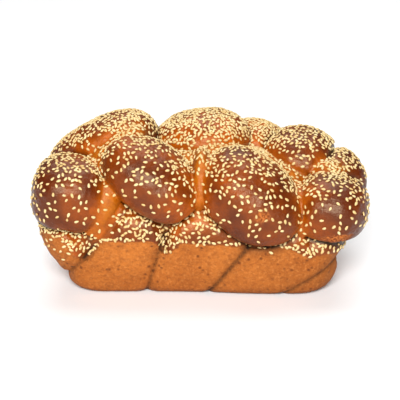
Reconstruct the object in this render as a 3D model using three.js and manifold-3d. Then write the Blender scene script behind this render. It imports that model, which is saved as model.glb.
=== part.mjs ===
// A four-strand braided loaf, baked in a tapered loaf tin until its crown stands well over the rim.
// Baking joins the strands into one body, so the loaf is one solid.
// Millimetres. +X runs along the loaf, +Y towards its back and +Z up.
// The origin lies on the flat underside, under the middle of the loaf's length and width.
import * as THREE from "three";
import { mergeVertices } from "three/addons/utils/BufferGeometryUtils.js";
import Module from "manifold-3d";

const wasm = await Module();
wasm.setup();

// ---- Driving dimensions ----

const pitch = 75; // from one bulge of the braid to the next in the same row

// The dough below the rim has the inside shape of the tin.
const tin = {
  footLength: 186,
  footWidth: 80,
  depth: 44, // from the underside up to the line where the dough left the wall
  endFlare: 22, // degrees that each end wall leans out
  sideFlare: 14, // degrees that each long wall leans out
  cornerRadius: 22, // upright corners
  footRadius: 7, // edge between the walls and the underside
};

const groove = 4; // depth of the seam where two strands meet on a wall
const overrun = 20; // how far a cutting shape runs past what it cuts
const lowerRowsTop = 76; // the strands under the crown end below this height

// How finely the round shapes are divided.
const facets = { eggRound: 18, eggEndToEnd: 12, corner: 4, footEdge: 3, groove: 4 };
const weldDistance = 1e-3; // points closer than this are one point

// Each row holds the bulges of the braid that lie side by side along the loaf. A bulge is egg-shaped. Its
// place is along, in pitches from the middle, y and z; long, deep and high are its half sizes. slant is how
// far its +X end dips, and turn how far that end swings to the front.
const crownRows = {
  front: [
    { along: -1.235, y: -25, z: 72.7, long: 29, deep: 33.5, high: 27, slant: 5, turn: 0 },
    { along: -0.455, y: -31, z: 85.6, long: 39, deep: 31.5, high: 23.5, slant: 32, turn: 20 },
    { along: 0.48, y: -33, z: 71.5, long: 42, deep: 33.5, high: 29.5, slant: 36, turn: 18 },
    { along: 1.255, y: -26, z: 61.5, long: 27.5, deep: 33.5, high: 26, slant: 10, turn: 10 },
  ],
  back: [
    { along: -0.98, y: 19, z: 90, long: 47, deep: 34, high: 24, slant: -32, turn: 25 },
    { along: 0.02, y: 24, z: 95, long: 36.5, deep: 34, high: 25.5, slant: -8, turn: 20 },
    { along: 0.995, y: 20, z: 82, long: 30, deep: 34, high: 25.5, slant: 4, turn: 15 },
    { along: 1.315, y: 12, z: 68.5, long: 24.5, deep: 32, high: 26, slant: 25, turn: 0 },
  ],
  behind: [
    { along: -1.12, y: 38, z: 65, long: 30, deep: 28, high: 27, slant: 0, turn: 0 },
    { along: -0.74, y: 36, z: 89.5, long: 26, deep: 28, high: 26, slant: 20, turn: 0 },
    { along: -0.3, y: 37, z: 66, long: 37, deep: 28, high: 26, slant: -34, turn: 0 },
    { along: 0.58, y: 40, z: 82, long: 28, deep: 28, high: 25, slant: 20, turn: 0 },
    { along: 1.22, y: 38, z: 58, long: 28, deep: 28, high: 26, slant: 0, turn: 0 },
  ],
};

// Rows of strands between the crown and the tin, pressed against its walls.
const lowerRows = {
  front: [
    { along: -1.24, y: -22, z: 40, long: 30, deep: 33, high: 22, slant: 0, turn: 0 },
    { along: -0.72, y: -24, z: 40, long: 44, deep: 38, high: 33, slant: -50, turn: 0 },
    { along: 0.05, y: -24, z: 42, long: 44, deep: 38, high: 33, slant: -45, turn: 0 },
    { along: 1.01, y: -24, z: 38, long: 44, deep: 38, high: 30, slant: -35, turn: 0 },
  ],
  back: [
    { along: -1.05, y: 24, z: 38, long: 40, deep: 37, high: 30, slant: 40, turn: 0 },
    { along: -0.3, y: 24, z: 42, long: 44, deep: 38, high: 33, slant: 45, turn: 0 },
    { along: 0.72, y: 24, z: 42, long: 44, deep: 38, high: 33, slant: 45, turn: 0 },
    { along: 1.2, y: 24, z: 40, long: 31, deep: 31, high: 23, slant: 30, turn: 0 },
  ],
};

// The dough in the middle, which the bulges grow out of.
const heart = { z: 55, long: 95, deep: 45, high: 45 };

// Seams between neighbouring strands on the long walls: where each meets the underside and the rim,
// along the loaf. The back has its own, seen from behind.
const frontSeams = [
  { foot: -108, rim: -71 },
  { foot: -39, rim: -27 },
  { foot: 5, rim: 38 },
  { foot: 60, rim: 106 },
];
const backSeams = [
  { foot: -86, rim: -58 },
  { foot: -22, rim: 2 },
  { foot: 34, rim: 66 },
];

// ---- Shapes ----

const radians = THREE.MathUtils.degToRad;

// A closed three.js geometry as a solid that can be joined and cut.
function solid(geometry) {
  const bare = geometry.index ? geometry.toNonIndexed() : geometry.clone();
  bare.deleteAttribute("normal");
  bare.deleteAttribute("uv");
  const merged = mergeVertices(bare, weldDistance);
  return new wasm.Manifold(
    new wasm.Mesh({
      numProp: 3,
      vertProperties: merged.getAttribute("position").array,
      triVerts: new Uint32Array(merged.index.array),
    }),
  );
}

function geometryOf(manifold) {
  const mesh = manifold.getMesh();
  return new THREE.BufferGeometry()
    .setAttribute("position", new THREE.BufferAttribute(mesh.vertProperties, 3))
    .setIndex(new THREE.BufferAttribute(mesh.triVerts, 1));
}

function egg(long, deep, high) {
  return new THREE.SphereGeometry(1, facets.eggRound, facets.eggEndToEnd).scale(long, deep, high);
}

function bulge({ along, y, z, long, deep, high, slant, turn }) {
  return solid(
    egg(long, deep, high)
      .rotateY(radians(slant))
      .rotateZ(radians(-turn))
      .translate(along * pitch, y, z),
  );
}

// A rectangle with round corners, centred on the origin.
function roundedRectangle(length, width, radius) {
  const x = length / 2 - radius;
  const y = width / 2 - radius;
  const corners = [
    { x: x, y: y, from: 0 },
    { x: -x, y: y, from: 90 },
    { x: -x, y: -y, from: 180 },
    { x: x, y: -y, from: 270 },
  ];
  const outline = new THREE.Shape();
  for (const c of corners) {
    outline.absarc(c.x, c.y, radius, radians(c.from), radians(c.from + 90));
  }
  return outline;
}

// The inside of the tin, from its rounded foot up to a height. Its walls lean out with height.
function tinInside(height) {
  const { footLength, footWidth, footRadius, cornerRadius } = tin;
  const outline = roundedRectangle(
    footLength - 2 * footRadius,
    footWidth - 2 * footRadius,
    cornerRadius - footRadius,
  );
  const block = new THREE.ExtrudeGeometry(outline, {
    depth: height - footRadius,
    curveSegments: facets.corner,
    bevelSize: footRadius,
    bevelThickness: footRadius,
    bevelSegments: facets.footEdge,
  }).translate(0, 0, footRadius);
  const points = block.getAttribute("position");
  for (let i = 0; i < points.count; i++) {
    const z = points.getZ(i);
    const lengthen = 1 + (2 * z * Math.tan(radians(tin.endFlare))) / footLength;
    const widen = 1 + (2 * z * Math.tan(radians(tin.sideFlare))) / footWidth;
    points.setXY(i, points.getX(i) * lengthen, points.getY(i) * widen);
  }
  return solid(block);
}

// What the dough can't fill below the rim: the walls of the tin.
function tinWalls() {
  const reach = 2 * tin.footLength;
  const height = tin.depth + overrun;
  const around = new THREE.BoxGeometry(reach, reach, height).translate(0, 0, tin.depth - height / 2);
  return solid(around).subtract(tinInside(tin.depth));
}

// A V-shaped channel along a straight line between two points.
function channel(from, to) {
  const run = new THREE.Vector3().subVectors(to, from);
  const upright = new THREE.Vector3(0, 1, 0);
  const turn = new THREE.Quaternion().setFromUnitVectors(upright, run.clone().normalize());
  const middle = new THREE.Vector3().addVectors(from, to).multiplyScalar(0.5);
  return solid(
    new THREE.CylinderGeometry(groove, groove, run.length(), facets.groove)
      .applyQuaternion(turn)
      .translate(middle.x, middle.y, middle.z),
  );
}

function wallSeam({ foot, rim }) {
  const lean = Math.tan(radians(tin.sideFlare)) * tin.depth;
  return channel(
    new THREE.Vector3(foot, -tin.footWidth / 2, 0),
    new THREE.Vector3(rim, -tin.footWidth / 2 - lean, tin.depth),
  );
}

function addRows(dough, rows) {
  for (const own of Object.values(rows).flat()) dough = dough.add(bulge(own));
  return dough;
}

function loafSolid() {
  const middle = solid(egg(heart.long, heart.deep, heart.high).translate(0, 0, heart.z));
  const lower = addRows(tinInside(tin.depth), lowerRows).intersect(tinInside(lowerRowsTop));
  let dough = addRows(middle, crownRows).add(lower).subtract(tinWalls());
  for (const seam of frontSeams) dough = dough.subtract(wallSeam(seam));
  for (const seam of backSeams) dough = dough.subtract(wallSeam(seam).rotate([0, 0, 180]));
  return dough;
}

// ---- The part ----

function centredOverOrigin(geometry) {
  geometry.computeBoundingBox();
  const { min, max } = geometry.boundingBox;
  return geometry.translate(-(min.x + max.x) / 2, -(min.y + max.y) / 2, -min.z);
}

const crust = new THREE.MeshStandardMaterial({ color: 0x9a5424, roughness: 0.45, metalness: 0 });

const loaf = new THREE.Mesh(centredOverOrigin(geometryOf(loafSolid())), crust);
loaf.name = "braided_loaf";

const part = new THREE.Group();
part.add(loaf);

export default part;
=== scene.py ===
"""A braided loaf with a glazed crown, sides shaped by its tin, and sesame seeds.

The crust is one surface, wrapped round a set of egg-shaped bulges. Every seed is a body of its own.
Shapes are worked out in millimetres, in the loaf's own frame, and moved into the CAD model's box in metres.
"""

import math

import bpy
import numpy as np
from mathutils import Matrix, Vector, noise


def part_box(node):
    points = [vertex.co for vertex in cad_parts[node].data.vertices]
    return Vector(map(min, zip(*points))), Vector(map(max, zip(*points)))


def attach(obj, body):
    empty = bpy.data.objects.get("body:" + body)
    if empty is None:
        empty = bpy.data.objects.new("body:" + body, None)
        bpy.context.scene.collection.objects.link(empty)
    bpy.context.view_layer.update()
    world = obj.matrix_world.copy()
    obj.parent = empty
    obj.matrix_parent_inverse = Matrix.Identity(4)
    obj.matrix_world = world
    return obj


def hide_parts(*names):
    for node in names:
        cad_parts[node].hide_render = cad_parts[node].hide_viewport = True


MM = 0.001

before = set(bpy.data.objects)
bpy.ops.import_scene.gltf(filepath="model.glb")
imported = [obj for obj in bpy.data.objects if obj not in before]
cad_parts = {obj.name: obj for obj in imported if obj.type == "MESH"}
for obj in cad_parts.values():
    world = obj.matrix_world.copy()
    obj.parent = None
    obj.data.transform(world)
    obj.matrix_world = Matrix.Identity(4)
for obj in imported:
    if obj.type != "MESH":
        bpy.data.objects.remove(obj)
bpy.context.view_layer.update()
loaf_low, loaf_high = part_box("braided_loaf")

# ---- Driving dimensions, in mm and degrees ----

PITCH = 75.0  # from one bulge of the braid to the next in the same row
VOXEL = 1.4  # spacing of the grid that the crust is wrapped on
COARSE = 3  # that grid's points a side in each block of the first, coarse look at the field

TIN = dict(
    foot_length=186.0,
    foot_width=80.0,
    end_flare=22.0,
    side_flare=14.0,
    corner=22.0,
    foot_radius=7.0,
)
RIM = 44.0  # height of the tin's rim, which the crown hangs over

# Where the dough stayed against the long walls, as (x, highest z): the front seen from the front, and the
# back seen from behind.
FRONT_CONTACT = [
    (-112, 50), (-98, 47), (-88, 31), (-79, 31), (-70, 43.5), (-34, 45), (-24, 33),
    (-13, 43), (25, 41), (58, 40), (68, 37), (78, 30), (87, 34), (110, 33),
]
BACK_CONTACT = [
    (-110, 36), (-88, 34), (-58, 42), (-12, 42), (2, 33),
    (14, 41), (56, 40), (68, 31), (80, 38), (110, 36),
]
CONTACT_BLEND = 40.0  # the front's line of contact gives way to the back's over this width

# Places where a strand swelled past the straight line of the wall: middle, reach each way, and how far.
SWELLS = [
    dict(at=(-112, -20, 34), reach=(22, 34, 26), by=7.0),
    dict(at=(55, -44, 6), reach=(48, 16, 24), by=5.0),
    dict(at=(104, -24, 27), reach=(16, 36, 8), by=-3.0),
    dict(at=(104, -18, 10), reach=(16, 34, 12), by=2.0),
    dict(at=(-60, 44, 20), reach=(40, 16, 24), by=2.0),
]

# Spots where the glazed skin tore and the dough under it shows: middle and reach.
TEARS = [
    dict(at=(43, -67, 70), reach=(5, 8, 4.2)),
    dict(at=(98, -57, 49), reach=(11, 8, 4)),
]

# Places where the sides are coloured darker: middle, reach, and how much.
DARKER_SIDE_SPOTS = [
    dict(at=(98, -50, 10), reach=(24, 36, 24), by=0.55),
    dict(at=(52, -50, 20), reach=(30, 30, 34), by=0.36),
    dict(at=(-4, -50, 20), reach=(34, 30, 34), by=0.12),
]

# Where seeds slid down over a side and stuck: middle and reach.
SPILL = dict(at=(-106, -42, 43), reach=(12, 20, 8))

# Hollows where loose seeds gathered: middle and reach.
DRIFTS = [
    dict(at=(-21, -48, 41), reach=(7, 8, 6)),
    dict(at=(79, -49, 35), reach=(8, 8, 5)),
    dict(at=(-77, -47, 35), reach=(5, 8, 5)),
    dict(at=(-92, -47, 38), reach=(7, 8, 3)),
    dict(at=(10, -14, 98), reach=(22, 12, 10)),
]

UNION = 1.1  # how softly two strands run into each other
EDGE = 2.0  # how round the edges that the tin pressed are
SHOULDER = 24.0  # radius of the turn from a wall to the dough above the line of contact
STRETCH_SHOULDER = 62.0  # the same for the dough that was drawn out between the strands
CREASE_DEPTH = 3.0  # how much further the surface dips where two strands meet
CREASE_WIDTH = 2.4
LOOKS_BLEND = 2.0  # how softly the looks of one strand give way to those of the next
SHELTER = 6.0  # how far from a joint between strands the dough was sheltered
GAP_SHADE = 4.5  # how far the shade in the gap under the crown runs
BARE_EDGE = 1.5  # width over which the matte wall gives way to glaze
SEAM_LINE = 1.3  # reach of the painted dark line of shade in a seam
SEAM_SHADE = 5.0  # reach of the shade beside that line
SIDE_BLEND = 20.0  # a seam fades out over this width towards the loaf's middle
SEAM_FOOT = dict(deeper=0.7, within=4.0)  # a seam is deeper by this share near the underside
FAR = 1e3  # further than any two points of the loaf

# The box that the crust is wrapped in.
GRID_LOW = np.array([-132.0, -72.0, -2 * VOXEL])
GRID_HIGH = np.array([132.0, 72.0, 130.0])
SLIT_FILL = -0.05 * VOXEL  # field given to a filled slit: just inside the loaf


def bulge(
    kind, along, y, z, long, deep, high, slant=0.0, turn=0.0, boxy=2.2, crease=1.0, brown=0.5, seeds=1.0
):
    """An egg-shaped piece of dough. along is its x in pitches. long, deep and high are its half sizes. slant
    is how far its +X end dips, and turn how far that end swings to the front, in degrees. boxy is 2 for an
    egg, and more for a squarer one. crease is how sharply it is parted from its neighbours, brown how dark
    it baked, and seeds how thickly it is strewn, against 1 for the rest."""
    centre = np.array([along * PITCH, y, z])
    s, t = math.radians(slant), math.radians(-turn)
    dip = np.array([[math.cos(s), 0, math.sin(s)], [0, 1, 0], [-math.sin(s), 0, math.cos(s)]])
    swing = np.array([[math.cos(t), -math.sin(t), 0], [math.sin(t), math.cos(t), 0], [0, 0, 1]])
    return dict(
        kind=kind,
        centre=centre,
        half=np.array([long, deep, high]),
        axes=swing @ dip,
        boxy=boxy,
        crease=crease,
        brown=brown,
        seeds=seeds,
    )


BULGES = [
    # The front of the crown, from -X to +X.
    bulge("crown", -1.225, -25, 72.7, 28.5, 33, 26.3, 5, 0, boxy=2.6, crease=1.2, brown=0.8),
    bulge("crown", -0.455, -31, 85.6, 38.5, 31, 22.8, 32, 20, boxy=2.3, crease=1.5, brown=0.7),
    bulge("crown", 0.48, -33, 71.5, 42, 33, 29, 36, 18, boxy=2.2, crease=1.1, brown=0.78),
    bulge("crown", 1.255, -26, 61.5, 27, 33, 25, 10, 10, boxy=2.4, brown=0.7, seeds=0.8),
    # The back of the crown.
    bulge("crown", -0.98, 19, 90, 47, 34, 23.5, -32, 25, brown=0.8, seeds=0.85),
    bulge("crown", 0.02, 24, 95, 36, 34, 25, -8, 20, brown=0.55, seeds=1.2),
    bulge("crown", 0.995, 20, 82, 29.5, 34, 25, 4, 15, brown=0.8, seeds=0.65),
    bulge("crown", 1.315, 12, 68.5, 24, 32, 25.5, 25, 0, brown=0.75, seeds=0.5),
    # Strands that rise behind it.
    bulge("crown", -1.12, 38, 65, 30, 28, 27, 0, 0, brown=0.7),
    bulge("crown", -0.74, 36, 89.5, 26, 28, 26, 20, 0, brown=0.5, seeds=1.9),
    bulge("crown", -0.3, 37, 66, 37, 28, 26, -34, 0, brown=0.7, seeds=0.9),
    bulge("crown", 0.58, 40, 82, 28, 28, 25, 20, 0, brown=0.5, seeds=2.0),
    bulge("crown", 1.22, 38, 58, 28, 28, 26, 0, 0, brown=0.7),
    # Strands under the front of the crown, pressed against the tin.
    bulge("lower", -1.24, -22, 40, 30, 33, 22, 0, 0, crease=1.2, brown=0.55),
    bulge("lower", -0.72, -24, 40, 44, 38, 33, -50, 0, crease=1.2, brown=0.8),
    bulge("lower", 0.05, -24, 42, 44, 38, 33, -45, 0, crease=1.2, brown=0.8),
    bulge("lower", 1.01, -24, 38, 44, 38, 30, -35, 0, brown=0.7),
    # Strands under its back.
    bulge("lower", -1.05, 24, 38, 40, 37, 30, 40, 0, brown=0.62),
    bulge("lower", -0.3, 24, 42, 44, 38, 33, 45, 0, brown=0.62),
    bulge("lower", 0.72, 24, 42, 44, 38, 33, 45, 0, brown=0.62),
    bulge("lower", 1.2, 24, 40, 31, 31, 23, 30, 0, brown=0.62),
    # Pale dough that was drawn out between the strands as they rose.
    bulge("stretch", -0.86, -8, 94.5, 32, 17, 13, -40, 0, crease=0.2),
    bulge("stretch", -0.94, -14, 82, 24, 22, 9, -76, 0, crease=0.2),
    bulge("stretch", -0.93, -31, 65, 27, 22, 12, -68, 0, crease=0.2),
    bulge("stretch", 0.005, -25, 83, 22, 27.5, 7, -86, 0, crease=0.2),
    bulge("stretch", 0.2, -7, 92, 22, 14, 12, 0, 0, crease=0.2),
    bulge("stretch", 0.955, -27, 61, 19, 28, 7.5, 85, 0, crease=0.2),
    bulge("stretch", 1.27, -8, 76.5, 17, 14, 15, 14, 0, crease=0.2),
    # The heart of the loaf, which the strands grow out of.
    bulge("stretch", 0, 0, 55, 95, 45, 45, crease=0.5),
]

# Seams between neighbouring strands on the long walls, seen from the front: where each meets the underside
# and the rim, how deep it is, how far its rounding runs and how dark the painted shade in it is. The back
# has its own, turned half round.
FRONT_SEAMS = [
    dict(foot=-108.0, rim=-71.0, depth=5.0, round=9.0, dark=0.7),
    dict(foot=-39.0, rim=-27.0, depth=4.5, round=9.0, dark=0.6),
    dict(foot=5.0, rim=38.0, depth=3.2, round=5.0, dark=0.9),
    dict(foot=57.0, rim=128.0, depth=2.4, round=4.0, dark=0.65),
]
BACK_SEAMS = [
    dict(foot=-86.0, rim=-58.0, depth=4.0, round=7.0, dark=0.6),
    dict(foot=-22.0, rim=2.0, depth=4.0, round=7.0, dark=0.7),
    dict(foot=34.0, rim=66.0, depth=3.0, round=5.0, dark=0.8),
]

# ---- The shape as a field: negative inside the loaf, positive outside, about a distance in mm ----


def squared_reach(points, spot):
    """How far each point is from a spot's middle, squared, where 1 is the spot's reach."""
    off = (points - np.array(spot["at"])) / np.array(spot["reach"])
    return (off**2).sum(1)


def nearness(points, spot):
    """1 in the middle of a spot, falling to 0 outside its reach."""
    return np.exp(-squared_reach(points, spot))


def share_of(distance, softness):
    """A weight that falls as the distance grows, kept to numbers that can be added up."""
    return np.exp(-np.clip(distance / softness, -60, 60))


def egg_distance(points, egg):
    """About how far each point is outside an egg."""
    local = np.abs((points - egg["centre"]) @ egg["axes"]) / egg["half"]
    power = egg["boxy"]
    size = np.maximum((local**power).sum(1), 1e-9) ** (1 / power)
    slope = ((local ** (power - 1) / egg["half"]) ** 2).sum(1) ** 0.5 * size ** (1 - power)
    return (size - 1) / np.maximum(slope, 1e-6)


def soft_max(a, b, softness):
    """The larger of two fields, with a rounded edge where they meet."""
    return softness * np.logaddexp(a / softness, b / softness)


def swelling(points):
    """How far the strands swelled past the tin's straight walls."""
    return sum(swell["by"] * nearness(points, swell) for swell in SWELLS)


def tin_wall_distance(points):
    """Distance to the inside of the tin's walls, which lean out with height and have no top."""
    lean_x = math.tan(math.radians(TIN["end_flare"]))
    lean_y = math.tan(math.radians(TIN["side_flare"]))
    half_x = TIN["foot_length"] / 2 + points[:, 2] * lean_x
    half_y = TIN["foot_width"] / 2 + points[:, 2] * lean_y
    over_x = np.abs(points[:, 0]) - half_x + TIN["corner"]
    over_y = np.abs(points[:, 1]) - half_y + TIN["corner"]
    outside = np.hypot(np.maximum(over_x, 0), np.maximum(over_y, 0))
    straight = outside + np.minimum(np.maximum(over_x, over_y), 0) - TIN["corner"]
    return straight - swelling(points)


def contact_height(points):
    """How high the dough touched the wall nearest to each point."""
    front = np.interp(points[:, 0], *np.array(FRONT_CONTACT).T)
    back = np.interp(-points[:, 0], *np.array(BACK_CONTACT).T)
    share = np.clip(0.5 - points[:, 1] / CONTACT_BLEND, 0, 1)
    return front * share + back * (1 - share)


def seam_cut(points):
    """How far the seams dent the walls at each point, and how dark the painted shade of the nearest seam is
    there, from 0 to 1.
    """
    cut = np.zeros(len(points))
    near = np.zeros(len(points))
    for side, seams in ((-1, FRONT_SEAMS), (1, BACK_SEAMS)):
        for seam in seams:
            x = points[:, 0] * -side
            run = seam["rim"] - seam["foot"]
            line = seam["foot"] + run * points[:, 2] / RIM
            away = np.abs(x - line) * RIM / math.hypot(run, RIM)
            part = np.clip(1 - away / seam["round"], 0, 1)
            profile = 1 - np.sqrt(np.maximum(1 - part**2, 0))
            own_side = np.clip(points[:, 1] * side / SIDE_BLEND, 0, 1)
            height = np.maximum(points[:, 2], 0)
            foot = 1 + SEAM_FOOT["deeper"] * np.exp(-height / SEAM_FOOT["within"])
            cut = np.maximum(cut, seam["depth"] * profile * own_side * foot)
            # Painted shade: a dark line down the seam's groove and a wider, fainter shade beside it.
            shade = np.exp(-((away / SEAM_LINE) ** 2)) + 0.3 * np.exp(-((away / SEAM_SHADE) ** 2))
            dark = seam["dark"] * shade * (0.5 + 0.3 * foot)
            near = np.maximum(near, dark * own_side)
    return cut, near


def shape(points):
    """The loaf's field, and what the crust's looks need at each point."""
    height = points[:, 2]
    bare_wall = tin_wall_distance(points)
    cut, seam_painted_shade = seam_cut(points)
    wall = bare_wall + cut
    over_contact = np.maximum(height - contact_height(points), 0)
    limits = {
        "crown": np.minimum(bare_wall, RIM - height),
        "lower": wall + over_contact**2 / (2 * SHOULDER),
        "stretch": wall + over_contact**2 / (2 * STRETCH_SHOULDER),
    }
    block = soft_max(wall, height - contact_height(points), EDGE)
    far = np.full_like(block, FAR)
    first, second = block.copy(), far
    crease_first = np.full_like(block, 0.5)
    crease_second = np.full_like(block, 0.5)
    total = share_of(block, UNION)
    seeds = share_of(block, LOOKS_BLEND)
    shares = {"crown": 0, "lower": 0, "stretch": 0, "block": seeds}
    nearest = {"crown": far, "lower": block, "stretch": far}
    brown = 0.0
    for egg in BULGES:
        d = soft_max(egg_distance(points, egg), limits[egg["kind"]], EDGE)
        total = total + share_of(d, UNION)
        weight = share_of(d, LOOKS_BLEND)
        shares[egg["kind"]] = shares[egg["kind"]] + weight
        brown = brown + weight * egg["brown"]
        seeds = seeds + weight * egg["seeds"]
        nearest[egg["kind"]] = np.minimum(nearest[egg["kind"]], d)
        nearer = d < first
        runner_up = ~nearer & (d < second)
        second = np.where(nearer, first, np.minimum(second, d))
        crease_second = np.where(nearer, crease_first, np.where(runner_up, egg["crease"], crease_second))
        first = np.where(nearer, d, first)
        crease_first = np.where(nearer, egg["crease"], crease_first)
    crease = np.exp(-(((second - first) / CREASE_WIDTH) ** 2)) * crease_first * crease_second
    field = -UNION * np.log(total) + CREASE_DEPTH * crease
    field = np.maximum(field, foot_distance(points, wall))
    everything = sum(shares.values())
    looks = {name: share / everything for name, share in shares.items()}
    looks["crease"] = crease
    looks["seeds"] = seeds / everything
    looks["shelter"] = np.exp(-np.maximum(second - first, 0) / SHELTER)
    on_side = np.clip(1 - looks["crown"] - looks["stretch"], 0, 1)
    # Painted shade along the seams, on the walls only.
    looks["seam"] = seam_painted_shade * on_side
    looks["brown"] = brown / np.maximum(everything - shares["block"], 1e-9)
    near_stretch = np.exp(-np.maximum(nearest["stretch"] - first, 0) / SHELTER)
    # Painted shade on the lower strands just under the crown's overhang.
    under = np.maximum(nearest["crown"] - nearest["lower"], 0)
    looks["gap"] = np.exp(-((under / GAP_SHADE) ** 2)) * on_side
    looks["warm"] = np.maximum(near_stretch, 0.5 * looks["shelter"])
    looks["over_contact"] = height - contact_height(points)
    return field, looks


def foot_distance(points, wall):
    """The flat underside, with the tin's round edge between it and the walls."""
    radius = TIN["foot_radius"]
    side = np.maximum(wall + radius, 0)
    below = np.maximum(radius - points[:, 2], 0)
    corner = np.hypot(side, below) - radius
    return np.where((side > 0) & (below > 0), corner, -points[:, 2])


# ---- Wrapping a mesh round the field ----


def field_on_grid(low, counts):
    """The field at every grid point. Far from the surface it is only coarse."""
    step = COARSE
    axes = [low[k] + VOXEL * np.arange(counts[k]) for k in range(3)]
    coarse_axes = [axis[1::step] for axis in axes]
    coarse = np.stack(np.meshgrid(*coarse_axes, indexing="ij"), -1).reshape(-1, 3)
    rough = shape(coarse)[0].reshape([len(a) for a in coarse_axes])
    values = rough.repeat(step, 0).repeat(step, 1).repeat(step, 2)
    near = np.abs(values) < 5 * VOXEL + 2
    grid = np.stack(np.meshgrid(*axes, indexing="ij"), -1)
    values[near] = shape(grid[near])[0]
    return values


def close_slits(values):
    """Fills slits thinner than the grid, where the wrapped surface would touch itself along an edge."""
    while True:
        inside = values < 0
        slit = np.zeros(values.shape, bool)
        for axis in range(3):
            u, v = (axis + 1) % 3, (axis + 2) % 3
            squares = {}
            for du, dv in ((0, 0), (1, 0), (1, 1), (0, 1)):
                part = [slice(None)] * 3
                part[u] = slice(du, values.shape[u] - 1 + du)
                part[v] = slice(dv, values.shape[v] - 1 + dv)
                squares[du, dv] = tuple(part)
            a, b = inside[squares[0, 0]], inside[squares[1, 0]]
            c, d = inside[squares[1, 1]], inside[squares[0, 1]]
            chequered = (a == c) & (b == d) & (a != b)
            for part in squares.values():
                slit[part] |= chequered & ~inside[part]
        if not slit.any():
            return values
        values = np.where(slit, SLIT_FILL, values)


def fill_pockets(values):
    """Fills hollows that don't open to the air."""
    outside = values >= 0
    air = outside.copy()
    air[1:-1, 1:-1, 1:-1] = False
    while True:
        grown = air.copy()
        for axis in range(3):
            grown |= np.roll(air, 1, axis) | np.roll(air, -1, axis)
        grown &= outside
        if (grown == air).all():
            return np.where(outside & ~air, SLIT_FILL, values)
        air = grown


def wrap(values, low):
    """Surface nets: a point in each cell that the surface crosses, and a quad round each crossed edge."""
    inside = values < 0
    cells = np.array(values.shape) - 1
    corners = [(i, j, k) for i in (0, 1) for j in (0, 1) for k in (0, 1)]

    def corner(array, c):
        return array[c[0] : c[0] + cells[0], c[1] : c[1] + cells[1], c[2] : c[2] + cells[2]]

    filled = sum(corner(inside, c).astype(np.int8) for c in corners)
    active = (filled > 0) & (filled < 8)
    place = np.argwhere(active)
    number = np.full(cells, -1)
    number[active] = np.arange(len(place))
    position = np.zeros((len(place), 3))
    crossings = np.zeros(len(place))
    corner_values = {c: corner(values, c)[active] for c in corners}
    for c in corners:
        for axis in range(3):
            if c[axis] == 1:
                continue
            d = tuple(1 if k == axis else c[k] for k in range(3))
            a, b = corner_values[c], corner_values[d]
            crossed = (a < 0) != (b < 0)
            t = np.where(crossed, a / np.where(crossed, a - b, 1), 0)
            position += crossed[:, None] * np.array(c, float)
            position[:, axis] += crossed * t
            crossings += crossed
    position = low + VOXEL * (place + position / crossings[:, None])
    quads = []
    for axis in range(3):
        u, v = (axis + 1) % 3, (axis + 2) % 3
        ahead = [slice(None)] * 3
        behind = [slice(None)] * 3
        behind[axis], ahead[axis] = slice(0, -1), slice(1, None)
        a, b = inside[tuple(behind)], inside[tuple(ahead)]
        edges = np.argwhere(a != b)
        edges = edges[(edges[:, u] > 0) & (edges[:, v] > 0)]
        outward = a[tuple(edges.T)]
        steps = [(0, 0), (1, 0), (1, 1), (0, 1)]
        ring = []
        for du, dv in steps:
            cell = edges.copy()
            cell[:, u] -= du
            cell[:, v] -= dv
            ring.append(number[tuple(cell.T)])
        ring = np.stack(ring, 1)
        ring[~outward] = ring[~outward][:, ::-1]
        quads.append(ring)
    return position, np.concatenate(quads)


def largest_part(position, quads):
    """Keeps the biggest connected surface, so no speck or hidden hollow is left."""
    label = np.arange(len(position))
    edges = np.concatenate([quads[:, [i, (i + 1) % 4]] for i in range(4)])
    while True:
        before = label.copy()
        low = np.minimum(label[edges[:, 0]], label[edges[:, 1]])
        np.minimum.at(label, edges[:, 0], low)
        np.minimum.at(label, edges[:, 1], low)
        label = label[label]
        if (label == before).all():
            break
    biggest = np.bincount(label).argmax()
    keep = label == biggest
    number = np.cumsum(keep) - 1
    return position[keep], number[quads[keep[quads[:, 0]]]]


def gradient(points, reach=0.4):
    """The direction out of the loaf at each point."""
    columns = []
    for axis in np.eye(3):
        columns.append(shape(points + axis * reach)[0] - shape(points - axis * reach)[0])
    slope = np.stack(columns, 1)
    return slope / np.maximum(np.linalg.norm(slope, axis=1), 1e-9)[:, None]


def settle(position):
    """Moves the points of the wrapped mesh onto the surface."""
    for _ in range(2):
        value, _looks = shape(position)
        position = position - gradient(position) * np.clip(value, -0.5 * VOXEL, 0.5 * VOXEL)[:, None]
    return position


# ---- Small unevenness ----


def wobble(points, size, offset):
    """Smooth noise from about -1 to 1 with features of that size in mm."""
    shift = Vector((offset, 2 * offset, 3 * offset))
    return np.array([noise.noise(Vector(p) / size + shift) for p in points])


def torn(position):
    """How much of each point lies in a tear, from 0 to 1, with ragged edges."""
    share = np.zeros(len(position))
    for tear in TEARS:
        share = np.maximum(share, 1.6 - squared_reach(position, tear))
    near = np.flatnonzero(share > 0)
    share[near] += 0.9 * wobble(position[near], 2.4, 52.0)
    return np.clip(share, 0, 1)


def uneven(position, looks):
    """The crust's dents, wrinkles and blisters, as moves along its normals."""
    outward = gradient(position)
    glazed = looks["crown"] + looks["lower"]
    move = 1.1 * wobble(position, 24.0, 3.1) * glazed
    move += 0.35 * wobble(position, 8.0, 7.7)
    wrinkle = 1 - np.abs(wobble(position * np.array([1.0, 1.0, 1.6]), 5.0, 11.3)) * 2
    move += 0.26 * np.maximum(wrinkle, 0) * (1 - looks["block"])
    move += 0.14 * wobble(position, 2.8, 15.9)
    move += 0.45 * wobble(position, 13.0, 42.0) * glazed
    move += looks["torn"] * (1.1 * wobble(position, 2.6, 61.0) - 0.5)
    near_floor = np.clip((position[:, 2] - 0.5) / 5.0, 0, 1)
    moved = position + outward * (move * near_floor)[:, None]
    moved[:, 2] = np.maximum(moved[:, 2], 0)
    return moved


# ---- Building the crust ----


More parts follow.
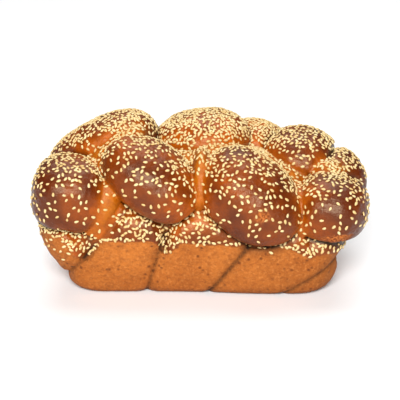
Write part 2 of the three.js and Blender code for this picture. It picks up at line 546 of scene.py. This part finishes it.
def new_mesh(name, points, faces):
    mesh = bpy.data.meshes.new(name)
    mesh.from_pydata((points * MM).tolist(), [], faces.tolist())
    mesh.shade_smooth()
    piece = bpy.data.objects.new(name, mesh)
    bpy.context.scene.collection.objects.link(piece)
    return piece


def paint(piece, name, values):
    """Stores a number for each point of a mesh, which its material reads by name."""
    layer = piece.data.attributes.new(name, "FLOAT", "POINT")
    layer.data.foreach_set("value", np.asarray(values, np.float32))


def build_crust():
    """The crust's points and faces in mm, and its looks at each point."""
    counts = COARSE * np.ceil((GRID_HIGH - GRID_LOW) / (COARSE * VOXEL)).astype(int)
    values = fill_pockets(close_slits(field_on_grid(GRID_LOW, counts)))
    position, quads = largest_part(*wrap(values, GRID_LOW))
    position = settle(position)
    position[:, 2] = np.maximum(position[:, 2], 0)
    _field, looks = shape(position)
    ragged = looks["over_contact"] + 1.6 * wobble(position, 7.0, 31.7)
    ragged += 0.8 * wobble(position, 2.5, 36.1)
    looks["tin_side"] = np.clip(1 - ragged / BARE_EDGE, 0, 1) * (1 - looks["crown"])
    looks["torn"] = torn(position)
    looks["baked"] = sum(spot["by"] * nearness(position, spot) for spot in DARKER_SIDE_SPOTS)
    return uneven(position, looks), quads, looks


def into_frame(position):
    """The move from the loaf's own frame into the CAD node's box."""
    middle = (np.array(loaf_low) + np.array(loaf_high)) / 2 / MM
    own = (position.min(0) + position.max(0)) / 2
    return np.array([middle[0] - own[0], middle[1] - own[1], loaf_low.z / MM])


# ---- Materials ----


class Nodes:
    """Short names for the nodes of one material."""

    def __init__(self, name):
        self.material = bpy.data.materials.new(name)
        self.material.use_nodes = True
        self.tree = self.material.node_tree
        self.shader = self.tree.nodes["Principled BSDF"]

    def add(self, kind, **inputs):
        node = self.tree.nodes.new(kind)
        for name, value in inputs.items():
            self.set(node.inputs[name], value)
        return node

    def set(self, socket, value):
        if isinstance(value, bpy.types.NodeSocket):
            self.tree.links.new(value, socket)
        else:
            socket.default_value = value

    def painted(self, name):
        node = self.add("ShaderNodeAttribute")
        node.attribute_name = name
        return node.outputs["Fac"]

    def place(self):
        return self.add("ShaderNodeTexCoord").outputs["Object"]

    def cloud(self, scale, detail=3.0, roughness=0.5):
        node = self.add("ShaderNodeTexNoise", Vector=self.place(), Scale=scale)
        node.inputs["Detail"].default_value = detail
        node.inputs["Roughness"].default_value = roughness
        return node.outputs["Fac"]

    def math(self, operation, a, b=0.0, clamp=False):
        node = self.add("ShaderNodeMath")
        node.operation = operation
        node.use_clamp = clamp
        self.set(node.inputs[0], a)
        self.set(node.inputs[1], b)
        return node.outputs[0]

    def ramp(self, value, low, high, to_low=0.0, to_high=1.0):
        node = self.add("ShaderNodeMapRange", Value=value)
        node.inputs["From Min"].default_value = low
        node.inputs["From Max"].default_value = high
        node.inputs["To Min"].default_value = to_low
        node.inputs["To Max"].default_value = to_high
        return node.outputs[0]

    def mix(self, share, a, b):
        node = self.add("ShaderNodeMix")
        node.data_type = "RGBA"
        self.set(node.inputs["Factor"], share)
        self.set(node.inputs[6], a)
        self.set(node.inputs[7], b)
        return node.outputs[2]

    def bump(self, height, distance, strength=1.0, normal=None):
        node = self.add("ShaderNodeBump", Height=height, Distance=distance, Strength=strength)
        if normal is not None:
            self.set(node.inputs["Normal"], normal)
        return node.outputs[0]


def colour(red, green, blue):
    """A screen colour, each part from 0 to 255, as the linear colour that a shader takes."""
    parts = [c / 255 for c in (red, green, blue)]
    return tuple(c / 12.92 if c <= 0.04045 else ((c + 0.055) / 1.055) ** 2.4 for c in parts) + (1.0,)


GLAZE = dict(sheltered=colour(186, 86, 0), baked=colour(134, 56, 0), dark=colour(84, 28, 2))
GLAZE_STREAK = colour(84, 28, 4)
DRAWN_OUT = dict(dark=colour(150, 74, 0), light=colour(176, 98, 0), patch=colour(126, 50, 0))
SIDE = dict(dark=colour(160, 85, 26), light=colour(190, 110, 42), baked=colour(120, 58, 14))
SIDE_GRAIN = dict(light=colour(206, 130, 64), dark=colour(122, 58, 14), line=colour(104, 48, 14))
PORE = colour(84, 34, 8)
TORN = dict(dark=colour(112, 48, 10), light=colour(178, 100, 44))
# Painted shade with some browning, for the foot of the walls.
FOOT_BROWN_AND_SHADE = colour(112, 54, 16)
# Painted shade for the creases, seams and the gap under the crown.
CREASE_PAINTED_SHADE = colour(38, 14, 4)
ROUGHNESS = dict(glazed=(0.36, 0.36, 0.36, 1), drawn_out=(0.5, 0.5, 0.5, 1), matte=(0.85, 0.85, 0.85, 1))


def glazed_colour(n, end):
    """The glazed crown: mahogany where it browned most, orange where it was sheltered."""
    patches = n.cloud(38.0, 4.0, 0.55)
    shade = n.math("ADD", n.painted("brown"), n.ramp(patches, 0.3, 0.7, -0.38, 0.34))
    shade = n.math("SUBTRACT", shade, n.math("MULTIPLY", n.painted("warm"), 0.5))
    # Darker towards both ends of the loaf.
    shade = n.math("ADD", shade, n.math("MULTIPLY", end, 0.5))
    crown = n.mix(n.ramp(shade, 0.0, 0.5), GLAZE["sheltered"], GLAZE["baked"])
    crown = n.mix(n.ramp(shade, 0.4, 0.95), crown, GLAZE["dark"])
    streaks = n.cloud(190.0, 4.0, 0.65)
    return n.mix(n.ramp(streaks, 0.5, 0.72, 0, 0.4), crown, GLAZE_STREAK)


def drawn_out_colour(n):
    """Dough that was drawn out after glazing."""
    pale = n.mix(n.ramp(n.cloud(110.0, 4.0), 0.35, 0.65), DRAWN_OUT["dark"], DRAWN_OUT["light"])
    return n.mix(n.ramp(n.cloud(150.0, 4.0, 0.6), 0.52, 0.68, 0, 0.5), pale, DRAWN_OUT["patch"])


def side_pores(n):
    """How deep in a pore each place on the sides is, from 0 to 1."""
    pores = n.add("ShaderNodeTexVoronoi", Vector=n.place(), Scale=210.0)
    deep = n.ramp(pores.outputs["Distance"], 0.14, 0.34, 1, 0)
    return n.math("MULTIPLY", deep, n.ramp(n.cloud(75.0), 0.47, 0.56))


def side_lines(n):
    """Fine, mostly level lines in the sides."""
    flattened = n.add("ShaderNodeMapping", Vector=n.place(), Scale=(1, 1, 3.2))
    lines = n.add("ShaderNodeTexNoise", Vector=flattened.outputs[0], Scale=95.0, Detail=3.0)
    off_line = n.math("ABSOLUTE", n.math("SUBTRACT", lines.outputs["Fac"], 0.56))
    return n.ramp(off_line, 0.0, 0.016, 0.5, 0)


def side_colour(n, end, mottle, pore, line):
    """Sides that the tin covered: matte and finely pored."""
    side = n.mix(n.ramp(n.cloud(28.0, 4.0), 0.3, 0.7), SIDE["dark"], SIDE["light"])
    # Darker towards both ends of the loaf, and in the listed spots.
    side = n.mix(n.math("MULTIPLY", end, 0.45), side, SIDE["baked"])
    side = n.mix(n.painted("baked"), side, SIDE["baked"])
    side = n.mix(n.ramp(n.cloud(520.0, 3.0, 0.6), 0.52, 0.64, 0, 0.4), side, SIDE_GRAIN["light"])
    side = n.mix(n.ramp(mottle, 0.46, 0.64, 0, 0.46), side, SIDE_GRAIN["dark"])
    side = n.mix(n.math("MULTIPLY", pore, 0.75), side, PORE)
    return n.mix(line, side, SIDE_GRAIN["line"])


def crust_material():
    n = Nodes("crust")
    tin_side = n.painted("tin_side")
    stretch = n.painted("stretch")
    torn_skin = n.painted("torn")
    along = n.add("ShaderNodeSeparateXYZ", Vector=n.place()).outputs["X"]
    end = n.ramp(n.math("ABSOLUTE", n.math("ADD", along, 0.006)), 0.088, 0.126)
    mottle = n.cloud(330.0, 4.0, 0.7)
    pore = side_pores(n)
    line = side_lines(n)
    glazed = n.mix(stretch, glazed_colour(n, end), drawn_out_colour(n))
    rough_dough = n.mix(n.ramp(n.cloud(700.0, 4.0), 0.4, 0.6), TORN["dark"], TORN["light"])
    glazed = n.mix(torn_skin, glazed, rough_dough)
    surface = n.mix(tin_side, glazed, side_colour(n, end, mottle, pore, line))
    # Painted shade with some browning near the underside of the tin-covered walls.
    surface = n.mix(n.math("MULTIPLY", n.painted("foot"), 0.75), surface, FOOT_BROWN_AND_SHADE)
    # Painted shade in the creases, seams and the gap under the crown.
    surface = n.mix(n.math("MULTIPLY", n.painted("crease"), 0.85, clamp=True), surface, CREASE_PAINTED_SHADE)
    n.set(n.shader.inputs["Base Color"], surface)
    gloss = n.mix(stretch, ROUGHNESS["glazed"], ROUGHNESS["drawn_out"])
    gloss = n.mix(n.math("MAXIMUM", tin_side, torn_skin), gloss, ROUGHNESS["matte"])
    n.set(n.shader.inputs["Roughness"], gloss)
    n.shader.inputs["Specular IOR Level"].default_value = 0.42
    n.shader.inputs["Specular Tint"].default_value = (1.0, 0.86, 0.6, 1)
    fine = n.bump(n.cloud(420.0, 5.0, 0.65), 0.0006, 0.6)
    wrinkles = n.bump(n.cloud(130.0, 4.0, 0.6), 0.0016, 0.8, fine)
    grain = n.bump(n.math("MULTIPLY", mottle, tin_side), 0.002, -1.0, wrinkles)
    pits = n.bump(n.math("MULTIPLY", n.math("ADD", pore, line), tin_side), 0.001, -1.0, grain)
    n.set(n.shader.inputs["Normal"], pits)
    return n.material


HULL = dict(light=colour(222, 202, 148), dark=colour(204, 170, 106))
HULL.update(tip=colour(200, 146, 74), patch=colour(210, 158, 90))


def seed_material():
    n = Nodes("sesame_seed")
    tone = n.painted("tone")
    tip = n.painted("tip")
    hull = n.mix(tone, HULL["light"], HULL["dark"])
    hull = n.mix(n.ramp(tip, 0.6, 1.0, 0, 0.5), hull, HULL["tip"])
    hull = n.mix(n.ramp(n.cloud(900.0), 0.55, 0.8, 0, 0.3), hull, HULL["patch"])
    n.set(n.shader.inputs["Base Color"], hull)
    n.shader.inputs["Roughness"].default_value = 0.42
    n.set(n.shader.inputs["Normal"], n.bump(n.cloud(1500.0), 0.0002, 0.4))
    return n.material


# ---- Seeds ----

SEED = dict(long=3.3, wide=2.4, thick=1.3)
SEED_SIDES = 7
SEED_RINGS = 4
SEED_TAPER = 0.35  # how much slimmer the tip's end is than the round one
SEED_SIZES = (0.86, 1.12)  # the smallest and the largest, against SEED
SEED_RISE = (0.12, 0.34)  # how far a seed's middle is off the crust, as a share of its thickness
SEED_TILT = 0.12  # spread of how far seeds point out of the crust, in radians
SEED_GAP = (1.9, 3.7)  # least and most that is kept between the middles of two seeds
PACKING = 0.66  # that gap, against the side of the square that each seed has to itself
TRIES = 1.8  # places tried for each seed that is wanted, as some lie too close to others


def seed_body():
    """One seed, 1 long: round at its back and drawn to a point at its tip, lying along +X."""
    stations = np.linspace(0, math.pi, SEED_RINGS + 2)[1:-1]
    points = [(-0.5, 0, 0)]
    tip = [0.0]
    for angle in stations:
        x = -0.5 * math.cos(angle)
        width = 0.5 * math.sin(angle) * (1 - SEED_TAPER * (x + 0.5))
        for k in range(SEED_SIDES):
            turn = 2 * math.pi * k / SEED_SIDES
            points.append((x, width * math.cos(turn), width * math.sin(turn)))
            tip.append(x + 0.5)
    points.append((0.5, 0, 0))
    tip.append(1.0)
    faces = []
    last = len(points) - 1
    for k in range(SEED_SIDES):
        following = (k + 1) % SEED_SIDES
        faces.append((0, 1 + k, 1 + following))
        base = 1 + (SEED_RINGS - 1) * SEED_SIDES
        faces.append((last, base + following, base + k))
        for ring in range(SEED_RINGS - 1):
            a = 1 + ring * SEED_SIDES
            b = a + SEED_SIDES
            faces.append((a + k, b + following, a + following))
            faces.append((a + k, b + k, b + following))
    return np.array(points), np.array(faces), np.array(tip)


def face_data(points, quads, looks):
    """The corners, normal, area and looks of each face."""
    corners = points[quads]
    across = np.cross(corners[:, 2] - corners[:, 0], corners[:, 3] - corners[:, 1])
    double_area = np.linalg.norm(across, axis=1)
    normals = across / np.maximum(double_area, 1e-9)[:, None]
    face_looks = {name: values[quads].mean(1) for name, values in looks.items()}
    return corners, normals, double_area / 2, face_looks


def seed_density(centres, normals, looks):
    """Seeds a square mm at each face."""
    up = normals[:, 2]
    on_top = np.clip((up - 0.05) / 0.75, 0, 1)
    middle = np.exp(-(((centres[:, 1] - 20) / 30) ** 2)) * np.clip((centres[:, 2] - 55) / 45, 0.2, 1)
    density = 0.033 + 0.03 * on_top + 0.12 * on_top**1.5 * middle
    valley = looks["shelter"] * np.clip((up - 0.5) / 0.3, 0, 1)
    density += 0.11 * valley
    line = np.exp(-(((looks["over_contact"] - 2.0) / 1.2) ** 2)) * (1 - looks["crown"])
    density += (0.34 * line + 0.06 * looks["lower"]) * (looks["over_contact"] > 0)
    for drift in DRIFTS:
        density += 0.2 * nearness(centres, drift) * np.clip((up + 0.2) / 0.4, 0, 1)
    clumps = np.clip(1.0 + 1.0 * wobble(centres, 9.0, 21.3), 0.4, 2.0) * looks["seeds"]
    bare = 0.9 * looks["stretch"] * np.clip((0.75 - up) / 0.3, 0, 1)
    density = density * clumps * np.clip(1 - looks["tin_side"], 0, 1) * (1 - bare)
    return density * np.clip((up + 0.45) / 0.35, 0, 1) + 0.03 * nearness(centres, SPILL)


def scatter_seeds(points, quads, looks, rng):
    """Chooses where seeds lie, none closer to another than their spacing allows."""
    corners, normals, areas, face_looks = face_data(points, quads, looks)
    centres = corners.mean(1)
    density = seed_density(centres, normals, face_looks)
    wanted = rng.random(len(areas)) < np.clip(density * areas * TRIES, 0, 1)
    faces = np.flatnonzero(wanted)
    rng.shuffle(faces)
    u, v = rng.random(len(faces)), rng.random(len(faces))
    c = corners[faces]
    spots = (
        c[:, 0] * ((1 - u) * (1 - v))[:, None]
        + c[:, 1] * (u * (1 - v))[:, None]
        + c[:, 2] * (u * v)[:, None]
        + c[:, 3] * ((1 - u) * v)[:, None]
    )
    spacing = np.clip(PACKING / np.sqrt(np.maximum(density[faces], 1e-4)), *SEED_GAP)
    taken = {}
    kept = []
    cell = SEED_GAP[1]
    for i, (spot, gap) in enumerate(zip(spots.tolist(), spacing.tolist())):
        key = tuple(int(math.floor(s / cell)) for s in spot)
        near = [
            other
            for dx in (-1, 0, 1)
            for dy in (-1, 0, 1)
            for dz in (-1, 0, 1)
            for other in taken.get((key[0] + dx, key[1] + dy, key[2] + dz), ())
        ]
        if all(math.dist(spot, other) >= gap for other in near):
            taken.setdefault(key, []).append(spot)
            kept.append(i)
    return spots[kept], normals[faces[kept]]


def lay_seeds(name, spots, normals, rng):
    """One piece of seeds that lie on the crust, each turned its own way."""
    body, faces, tip = seed_body()
    count = len(spots)
    side = np.cross(normals, rng.normal(size=(count, 3)))
    side /= np.linalg.norm(side, axis=1)[:, None]
    along = np.cross(side, normals)
    tilt = rng.normal(0, SEED_TILT, count)
    along = along * np.cos(tilt)[:, None] + normals * np.sin(tilt)[:, None]
    upward = np.cross(along, side)
    size = rng.uniform(*SEED_SIZES, (count, 1))
    scale = size * np.array([SEED["long"], SEED["wide"], SEED["thick"]])
    axes = np.stack([along, -side, upward], 1)
    rest = spots + normals * (SEED["thick"] * rng.uniform(*SEED_RISE, (count, 1)))
    placed = np.einsum("nk,bk,nkx->nbx", scale, body, axes) + rest[:, None]
    numbers = faces[None] + (np.arange(count) * len(body))[:, None, None]
    piece = new_mesh(name, placed.reshape(-1, 3), numbers.reshape(-1, 3))
    paint(piece, "tone", np.repeat(rng.random(count), len(body)))
    paint(piece, "tip", np.tile(tip, count))
    return piece


# ---- The loaf ----

FOOT_SHADE = 7.0  # how far up the painted shade and browning round the underside runs


def painted_crease_shade(looks):
    """How dark the painted shade in the creases, seams and the gap under the crown is. In creases it is
    narrower under the crown, and paler there and on drawn-out dough."""
    under_crown = np.clip((1 - looks["crown"] - looks["stretch"] - 0.6) / 0.4, 0, 1)
    narrow = looks["crease"] ** (1 + 1.5 * under_crown)
    dark = narrow * np.clip(1.15 - 0.9 * under_crown - 0.9 * looks["stretch"], 0, 1)
    return np.clip(dark, 0, 1) + looks["seam"] + 0.55 * looks["gap"]


points, quads, looks = build_crust()
points = points + into_frame(points)
crust = new_mesh("loaf_crust", points, quads)
for look in ("tin_side", "stretch", "warm", "brown", "torn", "baked"):
    paint(crust, look, looks[look])
# Painted shade and browning along the foot of the walls.
paint(crust, "foot", looks["tin_side"] * np.exp(-points[:, 2] / FOOT_SHADE))
# The painted shade in creases, seams and the gap under the crown.
paint(crust, "crease", painted_crease_shade(looks))
crust.data.materials.append(crust_material())
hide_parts("braided_loaf")
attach(crust, "root")

rng = np.random.default_rng(31)
spots, normals = scatter_seeds(points, quads, looks, rng)
seed_look = seed_material()
middle_y = (loaf_low.y + loaf_high.y) / 2 / MM
for name, chosen in (("seeds_front", spots[:, 1] < middle_y), ("seeds_back", spots[:, 1] >= middle_y)):
    seeds = lay_seeds(name, spots[chosen], normals[chosen], rng)
    seeds.data.materials.append(seed_look)
    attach(seeds, "root")
print("crust", len(points), "points", len(quads), "quads;", len(spots), "seeds")


# ---- Floor, light and camera ----

DISTANCE = 0.95
ELEVATION = math.radians(20)
TARGET = Vector((-0.0014, 0, 0.058))
SENSOR = 36.0
LENS = 115.2
FLOOR_REACH = 6.0


def build_floor():
    mesh = bpy.data.meshes.new("floor")
    corners = [(FLOOR_REACH * x, FLOOR_REACH * y, 0) for x, y in ((-1, -1), (1, -1), (1, 1), (-1, 1))]
    mesh.from_pydata(corners, [], [(0, 1, 2, 3)])
    floor = bpy.data.objects.new("floor", mesh)
    bpy.context.scene.collection.objects.link(floor)
    n = Nodes("floor")
    pale = n.mix(n.cloud(3.0), (0.90, 0.90, 0.90, 1), (0.93, 0.93, 0.93, 1))
    n.set(n.shader.inputs["Base Color"], pale)
    n.shader.inputs["Roughness"].default_value = 0.9
    mesh.materials.append(n.material)


def area_light(name, place, aim, size, power, tint=(1, 1, 1)):
    data = bpy.data.lights.new(name, "AREA")
    data.shape = "RECTANGLE"
    data.size, data.size_y = size
    data.energy = power
    data.color = tint
    light = bpy.data.objects.new(name, data)
    light.location = place
    light.rotation_euler = (Vector(aim) - Vector(place)).to_track_quat("-Z", "Y").to_euler()
    bpy.context.scene.collection.objects.link(light)


def build_light():
    world = bpy.data.worlds.new("studio")
    world.use_nodes = True
    background = world.node_tree.nodes["Background"]
    background.inputs["Color"].default_value = (1, 1, 1, 1)
    background.inputs["Strength"].default_value = 0.08
    bpy.context.scene.world = world
    aim = (0, 0, 0.06)
    area_light("key", (-0.15, -2.25, 1.45), aim, (1.4, 0.9), 108)
    area_light("top", (0.1, 1.6, 3.0), (0, 0.8, 0), (3.0, 3.0), 90)


def build_camera():
    data = bpy.data.cameras.new("camera")
    data.sensor_width = SENSOR
    data.lens = LENS
    camera = bpy.data.objects.new("camera", data)
    away = Vector((0, -math.cos(ELEVATION), math.sin(ELEVATION)))
    camera.location = TARGET + away * DISTANCE
    camera.rotation_euler = (-away).to_track_quat("-Z", "Y").to_euler()
    bpy.context.scene.collection.objects.link(camera)
    bpy.context.scene.camera = camera


build_floor()
build_light()
build_camera()
bpy.context.scene.view_settings.view_transform = "Standard"
